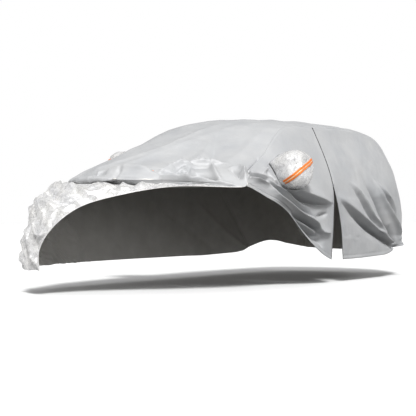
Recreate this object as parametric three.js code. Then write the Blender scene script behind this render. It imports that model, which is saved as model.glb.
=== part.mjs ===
// A fitted silver car cover, drawn back from the car's front left corner and open at its door zip.
// Lengths are millimetres. While it is built, the ground is z = 0, the car's nose points to -Y and the
// car's left side is +X. The finished group is then shifted so that its origin is the mount under the roof.
import * as THREE from "three";

// Driving dimensions
const CLOTH = 2.5; // thickness of the padded cloth
const SEAM_GAP = 0.5; // clear width between two panels at a seam
const ROOF_MOUNT = new THREE.Vector3(0, 800, 1568); // where the roof carries the cover
const ZIP_WIDTH = 12; // closed zip, between the two side panels
const ZIP_TAPE = 6; // width of each open half of the zip
const STRIP_WIDTH = 42; // reflective strip on a mirror pocket
const STRIP_THICKNESS = 1.2;
const [STRIP_ALONG, STRIP_ACROSS] = [20, 4]; // mesh cells of a strip
const ON_TOP = 0.8; // clearance under anything that lies on the cloth
const MOUTH_INSET = 1.5; // how far a pocket's edge stands in from and over the window it is sewn round

// The rails run the length of the cover, from the right hem over the ridge to the left hem.
// cells is the number of mesh cells from a rail to the next, and crease is how far the cloth turns
// sharply there instead of running smoothly across.
const RAILS = [
  { name: "rightHem", cells: 2 },
  { name: "rightDoor", cells: 3 },
  { name: "rightBelt", cells: 6 },
  { name: "rightSeam", cells: 5, crease: 0.7 },
  { name: "ridge", cells: 5 },
  { name: "leftSeam", cells: 6, crease: 0.7 },
  { name: "leftBelt", cells: 6 },
  { name: "leftDoor", cells: 5 },
  { name: "leftHem", cells: 0 },
];

// Each row is one hoop across the cover, from the nose hem to the tail hem, as [x, y, z] on each rail.
// Up to the lip, the left seam rail is the free edge that crosses the bonnet.
const HOOPS = [
  {
    name: "noseHem", cells: 3,
    rightHem: [-820, -1720, 208], rightDoor: [-752, -1880, 205], rightBelt: [-655, -1995, 204],
    rightSeam: [-540, -2090, 203], ridge: [-420, -2148, 203], leftSeam: [-300, -2185, 203],
  },
  {
    name: "bumper", cells: 3,
    rightHem: [-865, -1580, 210], rightDoor: [-805, -1790, 330], rightBelt: [-700, -1975, 385],
    rightSeam: [-560, -2105, 385], ridge: [-415, -2180, 375], leftSeam: [-268, -2215, 362],
  },
  {
    name: "grille", cells: 4,
    rightHem: [-885, -1420, 212], rightDoor: [-825, -1660, 430], rightBelt: [-700, -1890, 590],
    rightSeam: [-540, -2050, 600], ridge: [-345, -2160, 580], leftSeam: [-130, -2205, 545],
  },
  {
    name: "bonnetFront", cells: 4,
    rightHem: [-895, -1270, 214], rightDoor: [-855, -1530, 480], rightBelt: [-700, -1780, 730],
    rightSeam: [-505, -1930, 800], ridge: [-250, -2050, 760], leftSeam: [30, -2070, 705],
  },
  {
    name: "bonnetMiddle", cells: 4,
    rightHem: [-902, -1130, 216], rightDoor: [-880, -1380, 500], rightBelt: [-760, -1620, 810],
    rightSeam: [-505, -1740, 895], ridge: [-100, -1880, 848], leftSeam: [300, -1855, 806],
  },
  {
    name: "bonnetRear", cells: 4,
    rightHem: [-905, -1000, 217], rightDoor: [-892, -1230, 520], rightBelt: [-805, -1450, 830],
    rightSeam: [-520, -1600, 905], ridge: [60, -1680, 878], leftSeam: [610, -1600, 866],
  },
  {
    name: "tuck", cells: 3,
    rightHem: [-907, -900, 218], rightDoor: [-900, -1120, 530], rightBelt: [-830, -1320, 850],
    rightSeam: [-550, -1430, 905], ridge: [0, -1465, 895], leftSeam: [925, -1075, 886],
  },
  {
    name: "lip", cells: 3,
    rightHem: [-908, -840, 218], rightDoor: [-902, -1060, 535], rightBelt: [-840, -1260, 865],
    rightSeam: [-600, -1525, 935], ridge: [0, -1562, 940], leftSeam: [930, -1045, 908],
    leftBelt: [936, -1049, 905], leftDoor: [939, -1053, 901], leftHem: [941, -1058, 897],
  },
  {
    name: "lipTop", cells: 4,
    rightHem: [-909, -780, 218], rightDoor: [-905, -1000, 540], rightBelt: [-850, -1190, 880],
    rightSeam: [-600, -1400, 1000], ridge: [0, -1425, 1008], leftSeam: [900, -985, 955],
    leftBelt: [916, -992, 930], leftDoor: [928, -997, 902], leftHem: [934, -1000, 872],
  },
  {
    name: "pillarFoot", cells: 6,
    rightHem: [-910, -640, 219], rightDoor: [-910, -820, 550], rightBelt: [-870, -980, 900],
    rightSeam: [-600, -1125, 1100], ridge: [0, -1050, 1125], leftSeam: [800, -840, 1016],
    leftBelt: [893, -826, 935], leftDoor: [922, -818, 865], leftHem: [932, -810, 802],
  },
  {
    name: "mirror", cells: 12,
    rightHem: [-910, -350, 220], rightDoor: [-920, -500, 560], rightBelt: [-885, -620, 920],
    rightSeam: [-600, -715, 1236], ridge: [0, -720, 1280], leftSeam: [715, -500, 1145],
    leftBelt: [893, -500, 925], leftDoor: [930, -497, 800], leftHem: [935, -493, 681],
  },
  {
    name: "header", cells: 8,
    rightHem: [-910, 50, 220], rightDoor: [-925, -20, 560], rightBelt: [-890, -60, 930],
    rightSeam: [-600, -115, 1457], ridge: [0, -100, 1505], leftSeam: [600, 35, 1431],
    leftBelt: [885, -12, 945], leftDoor: [928, -35, 640], leftHem: [932, -55, 382],
  },
  {
    name: "zipFront", cells: 1,
    rightHem: [-910, 360, 220], rightDoor: [-925, 360, 560], rightBelt: [-900, 380, 920],
    rightSeam: [-620, 420, 1470], ridge: [0, 470, 1556], leftSeam: [615, 486, 1441],
    leftBelt: [905, 375, 900], leftDoor: [927, 347, 560], leftHem: [910, 330, 222],
  },
  {
    name: "zipRear", cells: 8,
    rightHem: [-910, 500, 220], rightDoor: [-930, 520, 560], rightBelt: [-905, 550, 920],
    rightSeam: [-620, 560, 1474], ridge: [0, 600, 1564], leftSeam: [615, 498, 1441],
    leftBelt: [905, 387, 900], leftDoor: [930, 474, 560], leftHem: [912, 548, 216],
  },
  {
    name: "roofMiddle", cells: 8,
    leftHem: [915, 790, 216], leftDoor: [930, 850, 560], leftBelt: [903, 880, 920],
    leftSeam: [605, 1030, 1453], ridge: [0, 1100, 1573],
  },
  {
    name: "roofRear", cells: 6,
    leftHem: [912, 1150, 224], leftDoor: [925, 1200, 560], leftBelt: [892, 1270, 930],
    leftSeam: [603, 1480, 1440], ridge: [0, 1600, 1560],
  },
  {
    name: "tailShoulder", cells: 5,
    leftHem: [905, 1420, 236], leftDoor: [910, 1480, 560], leftBelt: [862, 1580, 950],
    leftSeam: [612, 1775, 1382], ridge: [0, 1930, 1480],
  },
  {
    name: "tailWindow", cells: 5,
    leftHem: [890, 1620, 275], leftDoor: [882, 1700, 530], leftBelt: [802, 1845, 950],
    leftSeam: [600, 2030, 1215], ridge: [0, 2160, 1230],
  },
  {
    name: "tailgate", cells: 4,
    leftHem: [862, 1800, 330], leftDoor: [840, 1870, 470], leftBelt: [768, 2010, 740],
    leftSeam: [560, 2205, 860], ridge: [0, 2275, 870],
  },
  {
    name: "tailBumper", cells: 3,
    leftHem: [815, 1925, 352], leftDoor: [790, 1990, 400], leftBelt: [710, 2110, 490],
    leftSeam: [520, 2235, 500], ridge: [0, 2300, 500],
  },
  {
    name: "tailHem", cells: 0,
    leftHem: [755, 2000, 350], leftDoor: [715, 2060, 325], leftBelt: [630, 2135, 300],
    leftSeam: [480, 2195, 270], ridge: [0, 2255, 250],
  },
];

// Folds, by the part of the cover that they lie on, between two hoops and two rails (numbers of rows
// above). Each runs from one point over another to a third; lift is its height out of the cloth at
// those three, and width is the distance at which it has mostly died away.
const FOLD_GROUPS = [
  {
    on: "left front flap, fanning from the pillar foot to the zip", hoops: [8, 12], rails: [5, 8],
    folds: [
      { from: [905, -700, 935], over: [920, -300, 850], to: [920, 330, 740], lift: [8, -38, -14], width: 38 },
      { from: [905, -740, 905], over: [925, -330, 790], to: [925, 230, 690], lift: [12, 30, 12], width: 42 },
      { from: [920, -680, 883], over: [925, -380, 745], to: [925, 90, 555],
        lift: [-14, -30, -20], width: 36 },
      { from: [930, -560, 780], over: [925, -260, 660], to: [925, 250, 520], lift: [14, 30, 6], width: 45 },
      { from: [930, -480, 690], over: [925, -200, 580], to: [925, 130, 480],
        lift: [-22, -46, -24], width: 34 },
      { from: [930, -420, 650], over: [925, -150, 490], to: [915, 240, 330], lift: [16, 32, 8], width: 48 },
    ],
  },
  {
    on: "left rear side, converging on the gather by the wheel", hoops: [13, 20], rails: [5, 8],
    folds: [
      { from: [925, 520, 740], over: [925, 900, 590], to: [905, 1590, 290], lift: [-6, -34, -44], width: 46 },
      { from: [925, 540, 640], over: [925, 860, 480], to: [905, 1560, 262], lift: [4, 26, 26], width: 60 },
      { from: [905, 640, 1000], over: [925, 960, 730], to: [905, 1560, 330], lift: [2, -14, -26], width: 42 },
      { from: [900, 780, 1010], over: [925, 1080, 740], to: [905, 1580, 350], lift: [4, 22, 32], width: 50 },
      { from: [880, 930, 1060], over: [915, 1250, 760], to: [895, 1640, 330],
        lift: [-4, -26, -32], width: 44 },
      { from: [860, 1110, 1080], over: [905, 1400, 800], to: [885, 1670, 380], lift: [6, 22, 30], width: 52 },
      { from: [840, 1240, 1040], over: [880, 1540, 760], to: [868, 1715, 370],
        lift: [-8, -24, -26], width: 40 },
    ],
  },
  {
    on: "windscreen, soft folds from the header towards the bonnet", hoops: [8, 12], rails: [3, 5],
    folds: [
      { from: [-420, -1180, 1110], over: [-330, -700, 1290], to: [-120, -180, 1490],
        lift: [14, 12, 8], width: 70 },
      { from: [-180, -1250, 1080], over: [60, -760, 1260], to: [240, -150, 1480],
        lift: [18, 12, 6], width: 60 },
      { from: [260, -1180, 1070], over: [330, -760, 1220], to: [330, -260, 1420],
        lift: [-16, -12, -6], width: 60 },
      { from: [600, -900, 1060], over: [560, -560, 1200], to: [500, -120, 1430],
        lift: [18, 14, 8], width: 60 },
      { from: [770, -760, 1050], over: [700, -520, 1160], to: [640, -260, 1290],
        lift: [-14, -24, -14], width: 50 },
    ],
  },
  {
    on: "cloth bunched above the lip", hoops: [7, 9], rails: [3, 5],
    folds: [
      { from: [-560, -1380, 1010], over: [-250, -1400, 1030], to: [60, -1330, 1040],
        lift: [16, 24, 22], width: 55 },
      { from: [120, -1340, 1020], over: [330, -1250, 1040], to: [560, -1130, 1030],
        lift: [30, 36, 26], width: 55 },
      { from: [520, -1130, 1010], over: [640, -1080, 1000], to: [760, -1020, 985],
        lift: [24, 28, 14], width: 45 },
    ],
  },
  {
    on: "front panel, crumpled over the bonnet and down the nose", hoops: [0, 5], rails: [0, 5],
    folds: [
      { from: [-560, -1640, 905], over: [-300, -1760, 880], to: [-60, -1900, 820],
        lift: [26, 22, 16], width: 50 },
      { from: [-640, -1760, 800], over: [-420, -1900, 800], to: [-160, -2030, 740],
        lift: [-24, -24, -14], width: 42 },
      { from: [-690, -1850, 700], over: [-480, -2010, 690], to: [-230, -2120, 650],
        lift: [28, 26, 12], width: 46 },
      { from: [-720, -1880, 560], over: [-560, -2040, 560], to: [-330, -2160, 520],
        lift: [-26, -22, -10], width: 40 },
      { from: [-760, -1880, 430], over: [-620, -2040, 440], to: [-400, -2175, 400],
        lift: [26, 24, 10], width: 44 },
      { from: [-740, -1920, 300], over: [-600, -2060, 330], to: [-420, -2170, 290],
        lift: [-22, -22, -12], width: 40 },
      { from: [-690, -1900, 640], over: [-640, -2000, 480], to: [-590, -2070, 260],
        lift: [18, 20, 22], width: 40 },
      { from: [-420, -2080, 700], over: [-450, -2150, 480], to: [-470, -2140, 230],
        lift: [-20, -20, -16], width: 40 },
      { from: [-260, -2080, 720], over: [-310, -2180, 520], to: [-360, -2180, 240],
        lift: [12, 16, 16], width: 40 },
      { from: [-100, -1760, 880], over: [120, -1760, 870], to: [330, -1720, 850],
        lift: [20, 18, 10], width: 42 },
    ],
  },
  {
    on: "slack cloth on the right side", hoops: [9, 20], rails: [0, 3],
    folds: [
      { from: [-905, -300, 900], over: [-925, 300, 640], to: [-905, 1000, 300],
        lift: [10, 18, 22], width: 80 },
      { from: [-905, 500, 930], over: [-925, 900, 640], to: [-905, 1500, 290],
        lift: [-10, -20, -26], width: 75 },
      { from: [-880, 1000, 1020], over: [-905, 1350, 700], to: [-890, 1640, 320],
        lift: [8, 20, 28], width: 65 },
    ],
  },
  {
    on: "tail", hoops: [15, 20], rails: [3, 5],
    folds: [
      { from: [-520, 2090, 1160], over: [-300, 2240, 900], to: [-200, 2290, 420],
        lift: [8, 16, 20], width: 80 },
      { from: [480, 2120, 1150], over: [250, 2260, 880], to: [60, 2300, 420],
        lift: [-8, -16, -20], width: 80 },
    ],
  },
];
const FOLD_STEPS = 10;
const FOLD_FADE = 0.25; // rows over which a group dies away at its own ends

// Mirror pockets: the mouth is a window between two hoops and two rails, and the pocket is a rounded
// box on it, given by its middle and half sizes. tape points lie along the reflective strip, as
// directions out of the middle.
const POCKETS = [
  {
    side: "left", panel: "left_front_panel", hoops: [10, 10 + 5 / 12], rails: [5 + 1 / 3, 6 + 1 / 6],
    middle: [945, -385, 1018], half: [165, 188, 168],
    tape: [[0.1, -0.82, -0.6], [0.54, -0.77, -0.33], [0.8, -0.58, -0.1], [0.97, -0.21, 0.14],
      [0.8, 0.45, 0.4]],
  },
  {
    side: "right", panel: "right_panel", hoops: [10 + 1 / 4, 10 + 7 / 12], rails: [2 + 1 / 6, 2 + 5 / 6],
    middle: [-935, -390, 1090], half: [165, 168, 168],
    tape: [[0.1, -0.97, 0.2], [-0.5, -0.84, 0.1], [-0.85, -0.5, 0.06], [-0.98, 0.1, 0.1], [-0.85, 0.45, 0.2]],
  },
];
const POCKET_RINGS = 6;
const POCKET_START = THREE.MathUtils.degToRad(-24); // latitude of the mouth, behind the middle
const POCKET_SQUARENESS = 2.5;
const MOUTH_SHARE = 0.32; // share of the rings that blend into the mouth

const SILVER = { color: 0xc9cbcd, roughness: 0.42, metalness: 0.35, side: THREE.DoubleSide };
const FOIL = { color: 0xe4e5e6, roughness: 0.22, metalness: 0.75, side: THREE.DoubleSide };
const ORANGE = { color: 0xf2731c, roughness: 0.45, metalness: 0.0 };
const BLACK = { color: 0x17181a, roughness: 0.6, metalness: 0.0 };
const STEEL = { color: 0x8f9296, roughness: 0.3, metalness: 0.9 };

// ---- the cloth surface -------------------------------------------------------------------------

const vector = (p) => new THREE.Vector3(...p);
const mirrored = ([x, y, z]) => [-x, y, z];

// A hoop's point on a rail. Behind the zip the right side mirrors the left one, and ahead of the
// flap the rails below the free edge shrink to that edge.
function hoopPoint(hoop, rail) {
  if (hoop[rail]) return vector(hoop[rail]);
  if (rail.startsWith("right")) return vector(mirrored(hoop[rail.replace("right", "left")]));
  return vector(hoop.leftSeam);
}

const NET = HOOPS.map((hoop) => RAILS.map((rail) => hoopPoint(hoop, rail.name)));
const hoopAt = (name) => HOOPS.findIndex((hoop) => hoop.name === name);
const railAt = (name) => RAILS.findIndex((rail) => rail.name === name);

// Centripetal Catmull-Rom curve through a line of points, which doesn't overshoot where they are
// uneven. creases gives for each point how far its slopes turn towards the straight way to the next.
function spline(line, at, creases = []) {
  const last = line.length - 1;
  const i = Math.min(Math.floor(at), last - 1);
  const t = at - i;
  const b = line[i];
  const c = line[i + 1];
  const a = i > 0 ? line[i - 1] : b.clone().multiplyScalar(2).sub(c);
  const d = i + 2 <= last ? line[i + 2] : c.clone().multiplyScalar(2).sub(b);
  const [before, here, after] = [[a, b], [b, c],
    [c, d]].map(([p, q]) => Math.sqrt(Math.max(p.distanceTo(q), 1)));
  const [smoothB, smoothC] = [1 - (creases[i] ?? 0), 1 - (creases[i + 1] ?? 0)];
  const out = new THREE.Vector3();
  for (const k of ["x", "y", "z"]) {
    const bendB = ((b[k] - a[k]) / before - (c[k] - a[k]) / (before + here)) * here;
    const bendC = ((d[k] - c[k]) / after - (d[k] - b[k]) / (here + after)) * here;
    const slopeB = c[k] - b[k] + smoothB * bendB;
    const slopeC = c[k] - b[k] + smoothC * bendC;
    out[k] =
      (2 * t ** 3 - 3 * t ** 2 + 1) * b[k] +
      (t ** 3 - 2 * t ** 2 + t) * slopeB +
      (3 * t ** 2 - 2 * t ** 3) * c[k] +
      (t ** 3 - t ** 2) * slopeC;
  }
  return out;
}

const CREASES = RAILS.map((rail) => rail.crease ?? 0);
const [tuck, lip, zipFront, zipRear] = ["tuck", "lip", "zipFront", "zipRear"].map(hoopAt);
const [rightSeam, ridge, leftSeam, leftBelt] = ["rightSeam", "ridge", "leftSeam", "leftBelt"].map(railAt);

// A point on a hoop. Down to the belt, the zip's two hoops run side by side.
function onHoop(hoop, v) {
  const beside = hoop === zipRear && v >= leftSeam && v <= leftBelt;
  const point = spline(NET[beside ? zipFront : hoop], v, CREASES);
  if (beside) point.y += ZIP_WIDTH;
  return point;
}

const smoothPoint = (u, v) => spline(NET.map((_, hoop) => onHoop(hoop, v)), u);

const lastHoop = HOOPS.length - 1;
const lastRail = RAILS.length - 1;

// Outward normal of a surface given as a function of hoop and rail
function normalOf(surface, u, v) {
  const step = 0.02;
  const u0 = Math.max(u - step, 0);
  const u1 = Math.min(u + step, lastHoop);
  const v0 = Math.max(v - step, 0);
  const v1 = Math.min(v + step, lastRail);
  const along = surface(u1, v).sub(surface(u0, v));
  const across = surface(u, v1).sub(surface(u, v0));
  return across.cross(along).normalize();
}

// The curve that passes through a fold's three points
function foldCurve(fold) {
  const [from, over, to] = [fold.from, fold.over, fold.to].map(vector);
  const pull = over.multiplyScalar(2).sub(from.clone().add(to).divideScalar(2));
  return new THREE.QuadraticBezierCurve3(from, pull, to).getPoints(FOLD_STEPS);
}

for (const group of FOLD_GROUPS) {
  for (const fold of group.folds) fold.points = foldCurve(fold);
}

// Height of one fold at a place. The distance to it is measured across the cloth.
function foldLift(fold, place, normal) {
  let nearest = Infinity;
  let share = 0;
  for (let i = 0; i < FOLD_STEPS; i++) {
    const run = fold.points[i + 1].clone().sub(fold.points[i]);
    const gap = place.clone().sub(fold.points[i]);
    const t = THREE.MathUtils.clamp(gap.dot(run) / run.lengthSq(), 0, 1);
    gap.addScaledVector(run, -t);
    const distance = gap.addScaledVector(normal, -0.8 * gap.dot(normal)).length();
    if (distance < nearest) {
      nearest = distance;
      share = (i + t) / FOLD_STEPS;
    }
  }
  const [start, middle, end] = fold.lift;
  const lift =
    start * (1 - share) * (1 - 2 * share)
    + 4 * middle * share * (1 - share)
    + end * share * (2 * share - 1);
  return lift * Math.exp(-((nearest / fold.width) ** 2));
}

// 1 inside a range of rows, dying away before those of its ends that aren't an end of the cover
function within([low, high], at, last) {
  const rise = low > 0 ? THREE.MathUtils.smoothstep(at, low, low + FOLD_FADE) : 1;
  const fall = high < last ? 1 - THREE.MathUtils.smoothstep(at, high - FOLD_FADE, high) : 1;
  return rise * fall;
}

function foldHeight(u, v, place, normal) {
  let height = 0;
  for (const group of FOLD_GROUPS) {
    const share = within(group.hoops, u, lastHoop) * within(group.rails, v, lastRail);
    if (share === 0) continue;
    for (const fold of group.folds) height += share * foldLift(fold, place, normal);
  }
  return height;
}

function clothPoint(u, v) {
  const place = smoothPoint(u, v);
  const normal = normalOf(smoothPoint, u, v);
  return place.addScaledVector(normal, foldHeight(u, v, place, normal));
}

// ---- closed sheets -----------------------------------------------------------------------------

// Mesh lines: every rail or hoop, and the even steps between it and the next
const meshLines = (rows) =>
  rows.flatMap((row, i) => Array.from({ length: row.cells || 1 }, (_, k) => i + k / (row.cells || 1)));
const U = meshLines(HOOPS);
const V = meshLines(RAILS);
const lineAt = (lines, at) => lines.findIndex((value) => Math.abs(value - at) < 1e-6);

// Directed edges that only one face has, as a map from a point to the next one
function rimOf(faces) {
  const edges = new Set(faces.flatMap(([a, b, c]) => [`${a} ${b}`, `${b} ${c}`, `${c} ${a}`]));
  const next = new Map();
  for (const edge of edges) {
    const [a, b] = edge.split(" ").map(Number);
    if (!edges.has(`${b} ${a}`)) next.set(a, b);
  }
  return next;
}

// A closed sheet from its faces, whose points have a place and a normal. Its rim is drawn in by half
// a seam gap, and its two sides lie at the heights top and bottom along the normals.
function sheet(points, faces, top, bottom) {
  const rim = rimOf(faces);
  const before = new Map([...rim].map(([a, b]) => [b, a]));
  const places = points.map((point, i) => {
    if (!rim.has(i)) return point.place;
    const along = points[rim.get(i)].place.clone().sub(points[before.get(i)].place);
    const inward = point.normal.clone().cross(along).normalize();
    return point.place.clone().addScaledVector(inward, SEAM_GAP / 2);
  });
  const count = points.length;
  const positions = [];
  for (const height of [top, bottom]) {
    places.forEach((place, i) => {
      positions.push(...place.clone().addScaledVector(points[i].normal, height).toArray());
    });
  }
  const index = faces.flatMap(([a, b, c]) => [a, b, c, a + count, c + count, b + count]);
  for (const [a, b] of rim) index.push(b, a, a + count, b, a + count, b + count);
  const geometry = new THREE.BufferGeometry();
  geometry.setAttribute("position", new THREE.Float32BufferAttribute(positions, 3));
  geometry.setIndex(index);
  geometry.computeVertexNormals();
  return geometry;
}

// Gives every point the mean normal of its faces, weighted by their size.
function smoothNormals(points, faces) {
  for (const point of points) point.normal = new THREE.Vector3();
  for (const face of faces) {
    const [a, b, c] = face.map((n) => points[n]);
    const size = b.place.clone().sub(a.place).cross(c.place.clone().sub(a.place));
    for (const point of [a, b, c]) point.normal.add(size);
  }
  for (const point of points) point.normal.normalize();
}

const surfacePoint = (i, j) => ({ place: clothPoint(U[i], V[j]), normal: normalOf(clothPoint, U[i], V[j]) });

// Points and faces of the mesh cells between two hoops and two rails, without those of a window
function cellsBetween(hoops, rails, window) {
  const [i0, i1] = hoops.map((at) => lineAt(U, at));
  const [j0, j1] = rails.map((at) => lineAt(V, at));
  const number = new Map();
  const points = [];
  const faces = [];
  const pointAt = (i, j) => {
    const key = `${i} ${j}`;
    if (!number.has(key)) {
      number.set(key, points.length);
      points.push(surfacePoint(i, j));
    }
    return number.get(key);
  };
  const inWindow = (i, j) =>
    window &&
    i >= lineAt(U, window.hoops[0]) && i < lineAt(U, window.hoops[1]) &&
    j >= lineAt(V, window.rails[0]) && j < lineAt(V, window.rails[1]);
  for (let i = i0; i < i1; i++) {
    for (let j = j0; j < j1; j++) {
      if (inWindow(i, j)) continue;
      const [a, b, c, d] = [pointAt(i, j), pointAt(i + 1, j), pointAt(i + 1, j + 1), pointAt(i, j + 1)];
      faces.push([a, c, b], [a, d, c]);
    }
  }
  return { points, faces };
}

// ---- pieces ------------------------------------------------------------------------------------

const cover = new THREE.Group();

function add(name, geometry, finish) {
  const mesh = new THREE.Mesh(geometry, new THREE.MeshStandardMaterial(finish));
  mesh.name = name;
  cover.add(mesh);
  return mesh;
}

function addPanel(name, hoops, rails, finish) {
  const window = POCKETS.find((pocket) => pocket.panel === name);
  const { points, faces } = cellsBetween(hoops, rails, window);
  add(name, sheet(points, faces, 0, -CLOTH), finish);
}

addPanel("top_panel", [tuck, lastHoop], [rightSeam, leftSeam], SILVER);
addPanel("front_panel", [0, tuck], [0, leftSeam], FOIL);
addPanel("right_panel", [tuck, lastHoop], [0, rightSeam], SILVER);
addPanel("left_front_panel", [lip, zipFront], [leftSeam, lastRail], SILVER);
addPanel("left_rear_panel", [zipRear, lastHoop], [leftSeam, lastRail], SILVER);

// A point of the pocket's rounded box in a direction out of its middle
function pocketSurface(pocket, direction) {
  const [a, b, c] = pocket.half;
  const n = POCKET_SQUARENESS;
  const { x, y, z } = direction;
  const size = (Math.abs(x / a) ** n + Math.abs(y / b) ** n + Math.abs(z / c) ** n) ** (-1 / n);
  return vector(pocket.middle).addScaledVector(direction, size);
}

// The points round the mouth, in order, as pairs of mesh line numbers
function mouthLines(pocket) {
  const [i0, i1] = pocket.hoops.map((at) => lineAt(U, at));
  const [j0, j1] = pocket.rails.map((at) => lineAt(V, at));
  const lines = [];
  for (let i = i0; i < i1; i++) lines.push([i, j0]);
  for (let j = j0; j < j1; j++) lines.push([i1, j]);
  for (let i = i1; i > i0; i--) lines.push([i, j1]);
  for (let j = j1; j > j0; j--) lines.push([i0, j]);
  return lines;
}

// The window's edge, drawn in and raised so that the pocket's wall clears the panel
function mouthPoints(pocket) {
  const edge = mouthLines(pocket).map(([i, j]) => surfacePoint(i, j));
  const centre = new THREE.Vector3();
  for (const { place } of edge) centre.addScaledVector(place, 1 / edge.length);
  return edge.map(({ place, normal }) => {
    const inward = centre.clone().sub(place).projectOnPlane(normal).normalize();
    return { place: place.clone().addScaledVector(inward, MOUTH_INSET).addScaledVector(normal, MOUTH_INSET) };
  });
}

// The mouth's points, then the pocket's rings, which have twice as many, and the tip
function addPocket(pocket) {
  const outward = Math.sign(pocket.middle[0]);
  const middle = vector(pocket.middle);
  const points = mouthPoints(pocket);
  const mouth = points.length;
  const around = 2 * mouth;
  const edges = Array.from({ length: around }, (_, k) => {
    const from = points[Math.floor(k / 2)].place;
    const to = points[Math.ceil(k / 2) % mouth].place;
    return from.clone().lerp(to, 0.5);
  });
  const ringPoint = (ring, k) => mouth + (ring - 1) * around + (k % around);
  for (let ring = 1; ring < POCKET_RINGS; ring++) {
    const share = ring / POCKET_RINGS;
    const latitude = THREE.MathUtils.lerp(POCKET_START, Math.PI / 2, share);
    const hold = Math.max(0, 1 - share / MOUTH_SHARE) ** 2;
    for (const edge of edges) {
      const to = edge.clone().sub(middle);
      const angle = Math.atan2(to.z, to.y);
      const direction = new THREE.Vector3(
        outward * Math.sin(latitude),
        Math.cos(latitude) * Math.cos(angle),
        Math.cos(latitude) * Math.sin(angle),
      );
      points.push({ place: pocketSurface(pocket, direction).lerp(edge, hold) });
    }
  }
  points.push({ place: pocketSurface(pocket, new THREE.Vector3(outward, 0, 0)) });
  const faces = [];
  for (let k = 0; k < mouth; k++) {
    const [from, to] = [k, (k + 1) % mouth];
    const [a, b, c] = [2 * k, 2 * k + 1, 2 * k + 2].map((n) => ringPoint(1, n));
    faces.push([from, a, b], [from, b, to], [to, b, c]);
  }
  for (let k = 0; k < around; k++) {
    for (let ring = 1; ring + 1 < POCKET_RINGS; ring++) {
      const [a, b] = [ringPoint(ring, k), ringPoint(ring, k + 1)];
      const [c, d] = [ringPoint(ring + 1, k + 1), ringPoint(ring + 1, k)];
      faces.push([a, c, b], [a, d, c]);
    }
    const [a, b] = [ringPoint(POCKET_RINGS - 1, k), ringPoint(POCKET_RINGS - 1, k + 1)];
    faces.push([b, a, points.length - 1]);
  }
  smoothNormals(points, faces);
  add(`mirror_pocket_${pocket.side}`, sheet(points, faces, 0, -CLOTH), FOIL);
}

// A strip that follows a pocket's surface along its tape points
function addStrip(pocket) {
  const path = new THREE.CatmullRomCurve3(pocket.tape.map((p) => vector(p).normalize()));
  const middle = vector(pocket.middle);
  const row = STRIP_ACROSS + 1;
  const points = [];
  for (let k = 0; k <= STRIP_ALONG; k++) {
    const direction = path.getPoint(k / STRIP_ALONG).normalize();
    const across = direction.clone().cross(path.getTangent(k / STRIP_ALONG)).normalize();
    const centre = pocketSurface(pocket, direction);
    for (let n = 0; n < row; n++) {
      const side = STRIP_WIDTH * (n / STRIP_ACROSS - 0.5);
      const aim = centre.clone().addScaledVector(across, side).sub(middle).normalize();
      points.push({ place: pocketSurface(pocket, aim) });
    }
  }
  const faces = [];
  for (let k = 0; k < STRIP_ALONG; k++) {
    for (let n = 0; n < STRIP_ACROSS; n++) {
      const a = row * k + n;
      faces.push([a, a + row, a + row + 1], [a, a + row + 1, a + 1]);
    }
  }
  smoothNormals(points, faces);
  add(`reflective_strip_${pocket.side}`, sheet(points, faces, ON_TOP + STRIP_THICKNESS, ON_TOP), ORANGE);
}

for (const pocket of POCKETS) {
  addPocket(pocket);
  addStrip(pocket);
}

// The end of a third strip, flat on one facet of the cloth bunched above the lip. It stands on the
// facet's incentre, with its length along the facet's first side.
function addFrontStrip() {
  const length = 40;
  const width = 16;
  const [i, j] = [lineAt(U, lip + 2 / 3), lineAt(V, ridge + 1 / 5)];
  const corners = [[i, j], [i + 1, j + 1], [i + 1, j]].map(([p, q]) => surfacePoint(p, q).place);
  const sides = corners.map((corner, n) => corners[(n + 2) % 3].clone().sub(corners[(n + 1) % 3]));
  const girth = sides.reduce((sum, side) => sum + side.length(), 0);
  const place = new THREE.Vector3();
  corners.forEach((corner, n) => place.addScaledVector(corner, sides[n].length() / girth));
  const out = sides[0].clone().cross(sides[1]).normalize();
  const along = corners[1].clone().sub(corners[0]).normalize();
  const strip = add("reflective_strip_front", new THREE.BoxGeometry(length, width, STRIP_THICKNESS), ORANGE);
  strip.quaternion.setFromRotationMatrix(new THREE.Matrix4().makeBasis(along, out.clone().cross(along), out));
  strip.position.copy(place).addScaledVector(out, ON_TOP + STRIP_THICKNESS / 2);
}
addFrontStrip();

// The closed zip fills the gap between the two side panels down to the belt.
const chain = cellsBetween([zipFront, zipRear], [leftSeam, leftBelt]);
add("zip_chain", sheet(chain.points, chain.faces, 0, -CLOTH), BLACK);

// Below it each panel's edge carries one open half.
function addZipHalf(name, hoop, towards) {
  const lines = V.map((v, j) => j).filter((j) => V[j] > leftBelt && V[j] <= lastRail);
  const points = lines.flatMap((j) => {
    const edge = surfacePoint(lineAt(U, hoop), j);
    const reach = new THREE.Vector3(0, towards * ZIP_TAPE, 0);
    const outer = { place: edge.place.clone().add(reach), normal: edge.normal };
    return towards > 0 ? [edge, outer] : [outer, edge];
  });
  const faces = [];
  for (let k = 0; k + 1 < lines.length; k++) {
    const a = 2 * k;
    faces.push([a, a + 3, a + 1], [a, a + 2, a + 3]);
  }
  add(name, sheet(points, faces, 0, -CLOTH), BLACK);
}
addZipHalf("zip_half_front", zipFront, 1);
addZipHalf("zip_half_rear", zipRear, -1);

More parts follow.
